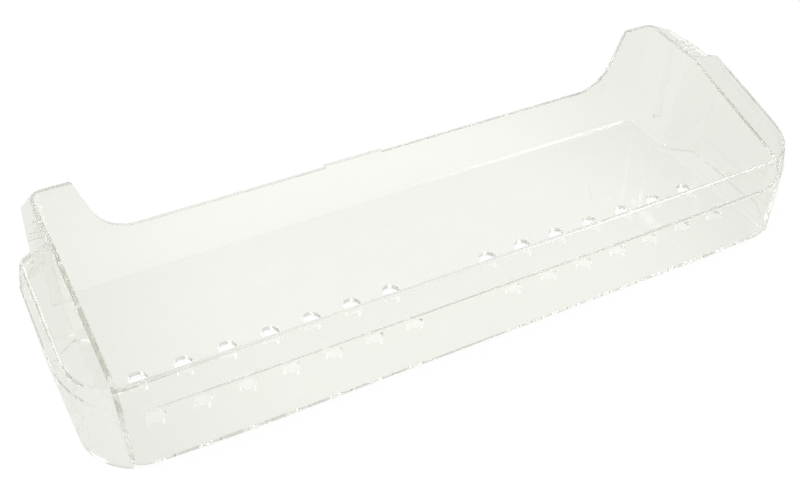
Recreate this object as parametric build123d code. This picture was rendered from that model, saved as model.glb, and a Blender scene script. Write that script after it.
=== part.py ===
from build123d import *
from math import atan2, cos, radians, sin, tan
import os

# Overall sizes in millimetres
shelf_depth = 141.0
wall = 2.4
floor_thickness = 2.8

# Tray between the two end walls
tray_half = 201.0
end_draft = 2.5
tray_corner = 6.0
floor_round = 1.6

# Front shell, measured outward from the tray and back from the foot of the front wall
foot_reach = 20.0
foot_radius = 33.0
foot_bevel = 2.4
shoulder_flare = 5.0
shoulder_radius = 40.0
shoulder_setback = 1.5
shoulder_round = 1.2
rim_return = 3.5
rim_radius = 24.0
rim_setback = 10.0
rim_width = 2.0
rim_round = 2.4
front_bow = 1.5

# Heights above the underside
front_height = 50.1
break_height = 72.4
ear_height = 75.1
back_height = 36.2
shoulder_drop = 10.5

# Narrow rear part, measured forward of the back face, and the slant of the steps into it
rim_break = 46.0
waist_depth = 37.0
foot_slant = 37.0
rim_slant = 30.0

# Flat flange along the rear part of each end wall
flange_taper = 10.0
flange_rear_reach = 10.5
flange_front_reach = 15.5

# Ears and land on the back wall
ear_width = 21.5
ear_lean = 20.0
ear_fillet = 25.0
ear_corner = 2.0
land_width = 38.0
land_offset = -15.5
land_height = 1.6

# Holes in the floor
hole_diameter = 10.5
hole_pitch = 25.0
hole_gap = 65.4
hole_margin = 10.0
hole_rows = (83.0, 109.6)

# Guide rib under the rear flange and grip ribs on top of it
guide_depth = 22.0
guide_thickness = 2.0
guide_reach = 6.0
guide_foot = 15.0
grip_count = 3
grip_first = 26.0
grip_pitch = 4.6
grip_width = 2.0
grip_height = 0.8

# Values that follow from the sizes above; the foot line lies ahead by what its bevel takes off the depth
back_y = shelf_depth / 2
front_y = -back_y - foot_bevel * shoulder_setback / (front_height - shoulder_drop)
rim_y = front_y + rim_setback
foot_half = tray_half + foot_reach
shoulder_half = foot_half + shoulder_flare
rim_half = shoulder_half - rim_return
draft_rise = tan(radians(end_draft))
mouth_half = tray_half + (ear_height - floor_thickness) * draft_rise
break_y = back_y - rim_break
rim_slope = atan2(break_height - front_height, break_y - rim_y)
ear_rise = (ear_height - break_height) / rim_break
clear = 2 * ear_height


def rim_plane(drop):
    """Sloping plane of the rim on the front shell, lowered by a drop."""
    normal = (0, -sin(rim_slope), cos(rim_slope))
    return Plane(origin=(0, rim_y, front_height - drop), x_dir=(1, 0, 0), z_dir=normal)


def shell_outline(half, front, radius, slant, inset):
    """Plan of the front shell: bowed front, round front corners, slanted rear steps."""
    side = half - inset
    rear = back_y - waist_depth - inset / cos(radians(slant))
    side_rear = rear - (side - mouth_half) * tan(radians(slant))
    corner = front + inset + front_bow
    edges = [
        Line((-mouth_half, rear), (mouth_half, rear)),
        Line((mouth_half, rear), (side, side_rear)),
        Line((side, side_rear), (side, corner)),
        ThreePointArc((side, corner), (0, front + inset), (-side, corner)),
        Line((-side, corner), (-side, side_rear)),
        Line((-side, side_rear), (-mouth_half, rear)),
    ]
    plan = make_face(edges)
    front_corners = plan.vertices().sort_by(Axis.Y)[0:2]
    return fillet(front_corners, radius - inset)


def on_plane(plan, plane):
    """Cut of an upright prism over a plan by a sloping plane."""
    prism = extrude(Pos(0, 0, -clear) * plan, amount=3 * clear)
    return section(prism, section_by=plane).faces()[0]


def under_rear_rim(drop):
    """Everything below the rear part of the rim, lowered by a drop."""
    rear_top = ear_height - drop
    profile = Polyline(
        (back_y, -clear),
        (back_y, rear_top),
        (front_y, rear_top - shelf_depth * ear_rise),
        (front_y, -clear),
        close=True,
    )
    side = make_face(Plane.YZ * profile)
    return extrude(side, amount=2 * foot_half, both=True)


def front_edges(outline):
    """Edges of an outline along the front, the round corners and the sides."""
    return outline.edges().sort_by(Axis.Y)[0:5]


def shell_block(thickness):
    """Solid inside the front shell, set in from its outer faces by a thickness, with a bent shoulder."""
    lean = atan2(rim_return, shoulder_drop)
    shoulder_inset = thickness * tan(lean / 2)
    rim_inset = thickness * tan((radians(90) - lean) / 2)
    shoulder_y = front_y + shoulder_setback
    foot = shell_outline(foot_half, front_y, foot_radius, foot_slant, thickness)
    shoulder = shell_outline(shoulder_half, shoulder_y, shoulder_radius, foot_slant, thickness)
    rim = shell_outline(rim_half, rim_y, rim_radius, rim_slant, rim_inset)
    shoulder_face = on_plane(shoulder, rim_plane(shoulder_drop + shoulder_inset))
    rim_face = on_plane(rim, rim_plane(thickness))
    lower = loft([foot.faces()[0], shoulder_face], ruled=True)
    upper = loft([shoulder_face, rim_face], ruled=True)
    block = lower + upper
    bend_edges = [block.edges().sort_by_distance(edge.center())[0] for edge in front_edges(shoulder_face)]
    return fillet(bend_edges, shoulder_round + wall - thickness)


def rounded_shell():
    """Outer solid of the front shell: rounded rim, bevelled foot along the tray, square wing feet."""
    block = shell_block(0)
    top = block.faces().filter_by(rim_plane(0)).sort_by(Axis.Z)[-1]
    block = fillet(front_edges(top), rim_round)
    bottom = block.faces().sort_by(Axis.Z)[0]
    bevelled = chamfer(front_edges(bottom), foot_bevel)
    between = tray_block(wall, -wall, 2 * front_y, back_y)
    return (bevelled & between) + (block - between)


def tray_block(grow, low, front, back):
    """Upright block of the tray with drafted ends and round rear corners, grown outward by an amount."""
    low_half = mouth_half - (ear_height - low) * draft_rise + grow
    high_half = mouth_half + (clear - ear_height) * draft_rise + grow
    profile = Polyline((-low_half, low), (low_half, low), (high_half, clear), (-high_half, clear), close=True)
    face = make_face(Plane.XZ * profile)
    block = extrude(Pos(0, front, 0) * face, amount=front - back)
    rear_edges = block.faces().sort_by(Axis.Y)[-1].edges().sort_by(Axis.X)
    return fillet([rear_edges[0], rear_edges[-1]], tray_corner + grow)


def tray_outside():
    """Outer block of the tray, with an even bend under the back wall and the end walls."""
    block = tray_block(wall, 0, front_y, back_y)
    bottom_edges = block.faces().sort_by(Axis.Z)[0].edges().sort_by(Axis.Y)
    return fillet(bottom_edges[1:], floor_round + wall)


def tray_room(hollow):
    """Space inside the tray: the hollow behind the front wall and the open mouth above it."""
    column = tray_block(0, floor_thickness, front_y, back_y - wall)
    mouth = tray_block(wall, 0, rim_y + rim_width, back_y)
    room = column & (hollow + mouth)
    floor_edges = room.faces().sort_by(Axis.Z)[0].edges()
    bend_edges = floor_edges.filter_by_position(Axis.Y, rim_y, back_y)
    return fillet(bend_edges, floor_round)


def back_notch():
    """Space between the two ears above the low edge of the back wall."""
    lean_run = tan(radians(ear_lean))
    foot_side = mouth_half - ear_width - (ear_height - back_height) * lean_run
    high_side = foot_side + (clear - back_height) * lean_run
    profile = Polyline(
        (-foot_side, back_height),
        (foot_side, back_height),
        (high_side, clear),
        (-high_side, clear),
        close=True,
    )
    face = make_face(Plane.XZ * profile)
    low_corners = face.vertices().sort_by(Axis.Z)[0:2]
    rounded = fillet(low_corners, ear_fillet)
    return extrude(Pos(0, back_y, 0) * rounded, amount=wall, both=True)


def back_land():
    """Shallow raised land on the low edge of the back wall."""
    middle = (land_offset, back_y - wall / 2, back_height)
    return Pos(*middle) * Box(land_width, wall, 2 * land_height)


def round_ears(shelf):
    """Shelf with the inner top corner of each ear rounded."""
    corners = []
    for side in (-1, 1):
        corner = (side * (mouth_half - ear_width), back_y - wall / 2, ear_height)
        corners.append(shelf.edges().sort_by_distance(corner)[0])
    return fillet(corners, ear_corner)


def flange_prism(side):
    """Upright prism over the plan of one rear flange, with a tapered rear end."""
    corner_drop = (tray_corner + wall) * (1 - cos(radians(45)))
    rear = tray_half + flange_rear_reach
    front = tray_half + flange_front_reach
    front_end = back_y - waist_depth - wall - (front - mouth_half) * tan(radians(rim_slant))
    plan = Polyline(
        (side * mouth_half, back_y - corner_drop),
        (side * rear, back_y - flange_taper),
        (side * front, front_end),
        (side * mouth_half, front_end),
        close=True,
    )
    return extrude(make_face(plan), amount=clear)


def rear_flange(side):
    """Flat flange along the rear part of one end wall."""
    return (flange_prism(side) & under_rear_rim(0)) - under_rear_rim(wall)


def grip_ribs(side):
    """Short raised ribs across the rear flange."""
    top = (flange_prism(side) & under_rear_rim(-grip_height)) - under_rear_rim(wall / 2)
    ribs = []
    for index in range(grip_count):
        rib_y = back_y - grip_first - index * grip_pitch
        ribs.append(top & Pos(0, rib_y, 0) * Box(2 * shoulder_half, grip_width, 2 * clear))
    return ribs


def guide_rib(side):
    """Upright rib under the rear flange that guides the shelf onto the door."""
    outer = tray_half + guide_reach + wall
    root = tray_half + wall / 2
    profile = Polyline(
        (side * root, guide_foot),
        (side * root, ear_height),
        (side * outer, ear_height),
        (side * outer, guide_foot),
        close=True,
    )
    face = make_face(Plane.XZ * profile)
    rib = extrude(Pos(0, back_y - guide_depth, 0) * face, amount=guide_thickness / 2, both=True)
    return rib & under_rear_rim(wall / 2)


def floor_holes():
    """Two rows of holes through the floor, left clear in the middle."""
    per_side = int((tray_half - hole_margin - hole_gap / 2) / hole_pitch) + 1
    drill = Cylinder(hole_diameter / 2, 4 * floor_thickness)
    holes = []
    for row in hole_rows:
        for index in range(per_side):
            reach = hole_gap / 2 + index * hole_pitch
            holes += [Pos(side * reach, back_y - row, 0) * drill for side in (-1, 1)]
    return holes


def door_shelf():
    """The whole moulding."""
    block = rounded_shell() & under_rear_rim(0)
    hollow = shell_block(wall) & under_rear_rim(wall)
    tray = tray_outside()
    rear_part = Pos(0, back_y, 0) * Box(2 * shoulder_half, 2 * waist_depth + 4 * wall, 2 * clear)
    shelf = (block - hollow) + (tray & (block + (rear_part & under_rear_rim(0))))
    for side in (-1, 1):
        shelf += [rear_flange(side), guide_rib(side)]
        shelf += grip_ribs(side)
    shelf = shelf - tray_room(hollow) - back_notch() + back_land()
    return round_ears(shelf) - floor_holes()


shelf = door_shelf()
os.makedirs("parts", exist_ok=True)
export_step(shelf, "parts/door_shelf.step")
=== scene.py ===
"""Dresses a clear moulded fridge door shelf and stands it in a plain white studio."""

import logging
import math
from dataclasses import dataclass
from enum import Enum, IntEnum
from typing import Any

import bpy
from mathutils import Matrix, Vector


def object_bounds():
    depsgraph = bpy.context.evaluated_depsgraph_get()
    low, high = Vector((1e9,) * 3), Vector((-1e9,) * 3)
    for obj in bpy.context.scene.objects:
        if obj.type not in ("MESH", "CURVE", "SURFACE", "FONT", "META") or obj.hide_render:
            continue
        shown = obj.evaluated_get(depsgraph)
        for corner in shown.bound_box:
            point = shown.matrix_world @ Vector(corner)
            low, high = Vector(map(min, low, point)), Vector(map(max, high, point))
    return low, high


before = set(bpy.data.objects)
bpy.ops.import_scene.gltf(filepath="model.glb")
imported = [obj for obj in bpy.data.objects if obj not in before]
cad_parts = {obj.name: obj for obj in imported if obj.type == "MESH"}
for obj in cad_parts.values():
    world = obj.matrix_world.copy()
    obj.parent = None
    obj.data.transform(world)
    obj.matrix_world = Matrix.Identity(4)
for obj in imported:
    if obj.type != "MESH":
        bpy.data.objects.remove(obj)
cad_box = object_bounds()

log = logging.getLogger("door_shelf_scene")

MM = 0.001
IMAGE_WIDTH_PX = 800
SENSOR_MM = 36.0
WHITE_STRENGTH = 1.0


class Tint(Enum):
    """Colours as sRGB hex values."""

    CLEAR = "FEFEFD"
    CLOUDY = "FCFCFB"
    ABSORBED = "D2D6C8"
    PAPER = "FFFFFF"
    PAPER_BEHIND = "FEFFF9"
    PAPER_IN_SHADE = "454545"
    PAPER_AROUND = "E7E7E7"
    CEILING = "DCDEDA"


class Ray(Enum):
    """Kinds of ray that are shown the white background."""

    CAMERA = "Is Camera Ray"
    GLOSSY = "Is Glossy Ray"
    TRANSMISSION = "Is Transmission Ray"


class MixSocket(IntEnum):
    """Sockets of a mix node, which share their names and so go by number."""

    FACTOR = 0
    NUMBER_A = 2
    NUMBER_B = 3
    COLOUR_A = 6
    COLOUR_B = 7


MIXED_NUMBER = 0
MIXED_COLOUR = 2


def linear(tint: Tint) -> tuple[float, float, float, float]:
    """Turns an sRGB hex value into a linear colour.

    Args:
        tint: The colour to convert.

    Returns:
        Red, green, blue and an alpha of one.
    """
    channels = [int(tint.value[start:start + 2], 16) / 255 for start in (0, 2, 4)]
    red, green, blue = [c / 12.92 if c <= 0.04045 else ((c + 0.055) / 1.055) ** 2.4 for c in channels]
    return red, green, blue, 1.0


def add_node(
    tree: bpy.types.NodeTree,
    kind: str,
    settings: dict[str | int, Any] | None = None,
    links: dict[str | int, bpy.types.NodeSocket] | None = None,
) -> bpy.types.Node:
    """Adds a node with its settings and links.

    Args:
        tree: Node tree that takes the node.
        kind: Blender's name for the node type.
        settings: Values by the name of a property, or by the name or number of an input.
        links: Output sockets by the name or number of the input they feed.

    Returns:
        The new node.
    """
    node = tree.nodes.new(kind)
    for name, value in (settings or {}).items():
        if isinstance(name, str) and hasattr(node, name):
            setattr(node, name, value)
        else:
            node.inputs[name].default_value = value
    for name, socket in (links or {}).items():
        tree.links.new(socket, node.inputs[name])
    return node


def empty_tree(owner: bpy.types.Material | bpy.types.World) -> bpy.types.NodeTree:
    """Gives a material or world an empty node tree.

    Args:
        owner: What the tree belongs to.

    Returns:
        The tree, with no nodes.
    """
    owner.use_nodes = True
    owner.node_tree.nodes.clear()
    return owner.node_tree


@dataclass(frozen=True)
class ClearPolystyrene:
    """Injection-moulded clear polystyrene: glossy and clear, darker and faintly olive where seen edge on."""

    ior: float = 1.57
    clarity: float = 1.0
    roughness: float = 0.03
    haze: float = 0.03
    haze_mm: float = 2.5
    haze_detail: float = 3.0
    flow_mm: float = 22.0
    flow_detail: float = 2.0
    flow_height_mm: float = 0.05
    absorption_per_m: float = 2.0

    def build(self) -> bpy.types.Material:
        """Builds the material.

        Returns:
            The finished material.
        """
        material = bpy.data.materials.new("clear_polystyrene_moulded")
        tree = empty_tree(material)
        place = add_node(tree, "ShaderNodeTexCoord")
        # Faint waves where the melt flowed, and a thin haze from handling
        # The haze is drawn coarser than it is, so that it shows
        flow = add_node(
            tree,
            "ShaderNodeTexNoise",
            {"Scale": 1 / (self.flow_mm * MM), "Detail": self.flow_detail},
            {"Vector": place.outputs["Object"]},
        )
        bump = add_node(
            tree,
            "ShaderNodeBump",
            {"Strength": 1.0, "Distance": self.flow_height_mm * MM},
            {"Height": flow.outputs["Fac"]},
        )
        haze = add_node(
            tree,
            "ShaderNodeTexNoise",
            {"Scale": 1 / (self.haze_mm * MM), "Detail": self.haze_detail},
            {"Vector": place.outputs["Object"]},
        )
        rough = add_node(
            tree,
            "ShaderNodeMapRange",
            {"To Min": self.roughness, "To Max": self.roughness + self.haze},
            {"Value": haze.outputs["Fac"]},
        )
        cloud = add_node(
            tree,
            "ShaderNodeMix",
            {
                "data_type": "RGBA",
                MixSocket.COLOUR_A: linear(Tint.CLEAR),
                MixSocket.COLOUR_B: linear(Tint.CLOUDY),
            },
            {MixSocket.FACTOR: flow.outputs["Fac"]},
        )
        surface = add_node(
            tree,
            "ShaderNodeBsdfPrincipled",
            {"Transmission Weight": self.clarity, "IOR": self.ior},
            {
                "Base Color": cloud.outputs[MIXED_COLOUR],
                "Roughness": rough.outputs["Result"],
                "Normal": bump.outputs["Normal"],
            },
        )
        # Depth of plastic takes out a little red and more blue
        depth = add_node(
            tree,
            "ShaderNodeVolumeAbsorption",
            {"Color": linear(Tint.ABSORBED), "Density": self.absorption_per_m},
        )
        add_node(
            tree,
            "ShaderNodeOutputMaterial",
            links={"Surface": surface.outputs["BSDF"], "Volume": depth.outputs["Volume"]},
        )
        return material


@dataclass(frozen=True)
class WhitePaper:
    """Matt white paper: plain white to the eye, with the shelf's soft shadow on it.

    Seen through the plastic and in reflections it is faintly olive and a little darker as painted shade, with
    a painted pool of light in an oval under the shelf.
    """

    seen_light: float = 0.95
    painted_pool_light: float = 0.92
    painted_edge_light: float = 0.80
    painted_pool_half_m: tuple[float, float, float] = (0.27, 0.3, 1.0)
    painted_pool_core: float = 0.35

    def build(self) -> bpy.types.Material:
        """Builds the material.

        Returns:
            The finished material.
        """
        material = bpy.data.materials.new("white_paper_matt")
        tree = empty_tree(material)
        path = add_node(tree, "ShaderNodeLightPath")
        place = add_node(tree, "ShaderNodeTexCoord")
        # Painted pool of light: the paper glows brightest in an oval under the shelf and falls to painted
        # shade away from it. The oval is measured along X and Y, since the paper is flat
        oval = add_node(
            tree,
            "ShaderNodeVectorMath",
            {"operation": "DIVIDE", 1: self.painted_pool_half_m},
            {0: place.outputs["Object"]},
        )
        reach = add_node(tree, "ShaderNodeVectorMath", {"operation": "LENGTH"}, {0: oval.outputs[0]})
        painted_pool = add_node(
            tree,
            "ShaderNodeMapRange",
            {
                "interpolation_type": "SMOOTHSTEP",
                "From Min": self.painted_pool_core,
                "To Min": self.painted_pool_light,
                "To Max": self.painted_edge_light,
            },
            {"Value": reach.outputs["Value"]},
        )
        # Camera rays see the even white paper; rays through the plastic and reflected rays see the painted
        # pool of light and painted shade
        level = add_node(
            tree,
            "ShaderNodeMix",
            {MixSocket.NUMBER_B: self.seen_light},
            {
                MixSocket.FACTOR: path.outputs[Ray.CAMERA.value],
                MixSocket.NUMBER_A: painted_pool.outputs["Result"],
            },
        )
        hue = add_node(
            tree,
            "ShaderNodeMix",
            {
                "data_type": "RGBA",
                MixSocket.COLOUR_A: linear(Tint.PAPER_BEHIND),
                MixSocket.COLOUR_B: linear(Tint.PAPER),
            },
            {MixSocket.FACTOR: path.outputs[Ray.CAMERA.value]},
        )
        glow = add_node(
            tree,
            "ShaderNodeEmission",
            links={"Color": hue.outputs[MIXED_COLOUR], "Strength": level.outputs[MIXED_NUMBER]},
        )
        shade = add_node(tree, "ShaderNodeBsdfDiffuse", {"Color": linear(Tint.PAPER_IN_SHADE)})
        seen = add_node(tree, "ShaderNodeAddShader", links={0: glow.outputs[0], 1: shade.outputs[0]})
        paper = add_node(tree, "ShaderNodeBsdfDiffuse", {"Color": linear(Tint.PAPER_AROUND)})
        both = add_node(
            tree,
            "ShaderNodeMixShader",
            links={0: shown_rays(tree), 1: paper.outputs[0], 2: seen.outputs[0]},
        )
        add_node(tree, "ShaderNodeOutputMaterial", links={"Surface": both.outputs[0]})
        return material


def shown_rays(tree: bpy.types.NodeTree) -> bpy.types.NodeSocket:
    """Finds the rays that are shown the white background.

    Args:
        tree: Node tree that takes the nodes.

    Returns:
        A socket that is one for those rays and zero for the rest.
    """
    path = add_node(tree, "ShaderNodeLightPath")
    either = path.outputs[Ray.CAMERA.value]
    for ray in (Ray.GLOSSY, Ray.TRANSMISSION):
        both = add_node(
            tree,
            "ShaderNodeMath",
            {"operation": "MAXIMUM"},
            {0: either, 1: path.outputs[ray.value]},
        )
        either = both.outputs[0]
    return either


@dataclass
class DoorShelf:
    """The one moulding of the shelf."""

    finish: ClearPolystyrene
    node: str = "door_shelf"
    join_mm: float = 0.001
    crisp_deg: float = 22.0

    def dress(self) -> bpy.types.Object:
        """Gives the moulding its finish.

        Returns:
            The moulding.
        """
        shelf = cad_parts[self.node]
        material = self.finish.build()
        shelf.data.materials.clear()
        shelf.data.materials.append(material)
        self.smooth_bends(shelf)
        return shelf

    def smooth_bends(self, shelf: bpy.types.Object) -> None:
        """Lets the shading run smoothly round the bends and break at the crisp corners.

        Args:
            shelf: The moulding.
        """
        joined = shelf.modifiers.new("joined_faces", "WELD")
        joined.merge_threshold = self.join_mm * MM
        crisp = shelf.modifiers.new("crisp_corners", "EDGE_SPLIT")
        crisp.split_angle = math.radians(self.crisp_deg)
        crisp.use_edge_sharp = False
        smooth = shelf.modifiers.new("smooth_bends", "WEIGHTED_NORMAL")
        smooth.keep_sharp = False


@dataclass(frozen=True)
class SoftBox:
    """A large soft lamp that points at the shelf."""

    name: str
    place_m: tuple[float, float, float]
    width_m: float
    height_m: float
    power_w: float

    def build(self, aim: Vector) -> bpy.types.Object:
        """Builds the lamp.

        Args:
            aim: Point that the lamp faces.

        Returns:
            The lamp.
        """
        data = bpy.data.lights.new(self.name, "AREA")
        data.shape = "RECTANGLE"
        data.size = self.width_m
        data.size_y = self.height_m
        data.energy = self.power_w
        lamp = bpy.data.objects.new(self.name, data)
        bpy.context.scene.collection.objects.link(lamp)
        lamp.location = self.place_m
        lamp.rotation_euler = (aim - lamp.location).to_track_quat("-Z", "Y").to_euler()
        return lamp


@dataclass
class Studio:
    """White floor, soft lamps and a pale room."""

    paper: WhitePaper
    floor_half_m: float = 6.0
    floor_gap_mm: float = 0.3
    room_strength: float = 1.0
    horizon: float = 0.15
    ceiling: float = 0.6
    lamps: tuple[SoftBox, ...] = (
        SoftBox("key_softbox", (-1.1, 0.5, 1.5), 0.9, 0.9, 10.0),
        SoftBox("rim_softbox", (1.17, -0.62, 1.32), 0.6, 0.6, 7.0),
    )

    def build_floor(self) -> bpy.types.Object:
        """Builds the floor under the shelf.

        Returns:
            The floor.
        """
        half = self.floor_half_m
        corners = [(-half, -half, 0.0), (half, -half, 0.0), (half, half, 0.0), (-half, half, 0.0)]
        mesh = bpy.data.meshes.new("paper_floor")
        mesh.from_pydata(corners, [], [(0, 1, 2, 3)])
        mesh.materials.append(self.paper.build())
        floor = bpy.data.objects.new("paper_floor", mesh)
        bpy.context.scene.collection.objects.link(floor)
        floor.location.z = cad_box[0][2] - self.floor_gap_mm * MM
        return floor

    def build_room(self) -> None:
        """Builds the room: white near the floor, greyer towards the ceiling."""
        world = bpy.data.worlds.new("pale_room")
        bpy.context.scene.world = world
        tree = empty_tree(world)
        path = add_node(tree, "ShaderNodeLightPath")
        place = add_node(tree, "ShaderNodeTexCoord")
        axes = add_node(tree, "ShaderNodeSeparateXYZ", links={"Vector": place.outputs["Generated"]})
        height = add_node(
            tree,
            "ShaderNodeMapRange",
            {"interpolation_type": "SMOOTHSTEP", "From Min": self.horizon, "From Max": self.ceiling},
            {"Value": axes.outputs["Z"]},
        )
        walls = add_node(
            tree,
            "ShaderNodeMix",
            {
                "data_type": "RGBA",
                MixSocket.COLOUR_A: linear(Tint.PAPER),
                MixSocket.COLOUR_B: linear(Tint.CEILING),
            },
            {MixSocket.FACTOR: height.outputs["Result"]},
        )
        room = add_node(
            tree,
            "ShaderNodeBackground",
            {"Strength": self.room_strength},
            {"Color": walls.outputs[MIXED_COLOUR]},
        )
        backdrop = add_node(
            tree,
            "ShaderNodeBackground",
            {"Color": linear(Tint.PAPER), "Strength": WHITE_STRENGTH},
        )
        shown = add_node(
            tree,
            "ShaderNodeMixShader",
            links={0: path.outputs[Ray.CAMERA.value], 1: room.outputs[0], 2: backdrop.outputs[0]},
        )
        add_node(tree, "ShaderNodeOutputWorld", links={"Surface": shown.outputs[0]})

    def light(self, aim: Vector) -> list[bpy.types.Object]:
        """Builds the lamps.

        Args:
            aim: Point that the lamps face.

        Returns:
            The lamps.
        """
        return [lamp.build(aim) for lamp in self.lamps]


@dataclass(frozen=True)
class PhotoCamera:
    """Camera above and to the left of the front wall."""

    place_m: tuple[float, float, float] = (-0.2726, -0.4276, 0.4480)
    azimuth_deg: float = -30.53
    elevation_deg: float = 40.81
    roll_deg: float = 2.71
    focal_px: float = 1143.0
    near_mm: float = 10.0

    def build(self) -> bpy.types.Object:
        """Builds the camera and makes it the scene's own.

        Returns:
            The camera.
        """
        turn = math.radians(self.azimuth_deg)
        tilt = math.radians(90 - self.elevation_deg)
        roll = math.radians(self.roll_deg)
        data = bpy.data.cameras.new("photo_camera")
        data.sensor_width = SENSOR_MM
        data.lens = self.focal_px / IMAGE_WIDTH_PX * SENSOR_MM
        data.clip_start = self.near_mm * MM
        camera = bpy.data.objects.new("photo_camera", data)
        bpy.context.scene.collection.objects.link(camera)
        facing = Matrix.Rotation(turn, 4, "Z") @ Matrix.Rotation(tilt, 4, "X") @ Matrix.Rotation(roll, 4, "Z")
        camera.matrix_world = Matrix.Translation(self.place_m) @ facing
        bpy.context.scene.camera = camera
        return camera


def let_light_run(bounces: int = 256) -> None:
    """Lets light run along inside the thin walls, as it does in clear plastic.

    Args:
        bounces: How often a ray may turn before it is dropped.
    """
    cycles = bpy.context.scene.cycles
    cycles.max_bounces = bounces
    cycles.glossy_bounces = bounces
    cycles.transmission_bounces = bounces


def main() -> None:
    """Builds the scene in order."""
    logging.basicConfig(level=logging.INFO, format="%(message)s")
    low, high = Vector(cad_box[0]), Vector(cad_box[1])
    shelf = DoorShelf(ClearPolystyrene()).dress()
    log.info("dressed %s", shelf.name)
    studio = Studio(WhitePaper())
    floor = studio.build_floor()
    log.info("laid %s", floor.name)
    studio.build_room()
    for lamp in studio.light((low + high) / 2):
        log.info("hung %s", lamp.name)
    camera = PhotoCamera().build()
    log.info("placed %s", camera.name)
    let_light_run()
    bpy.context.scene.view_settings.view_transform = "Standard"


if __name__ == "__main__":
    main()
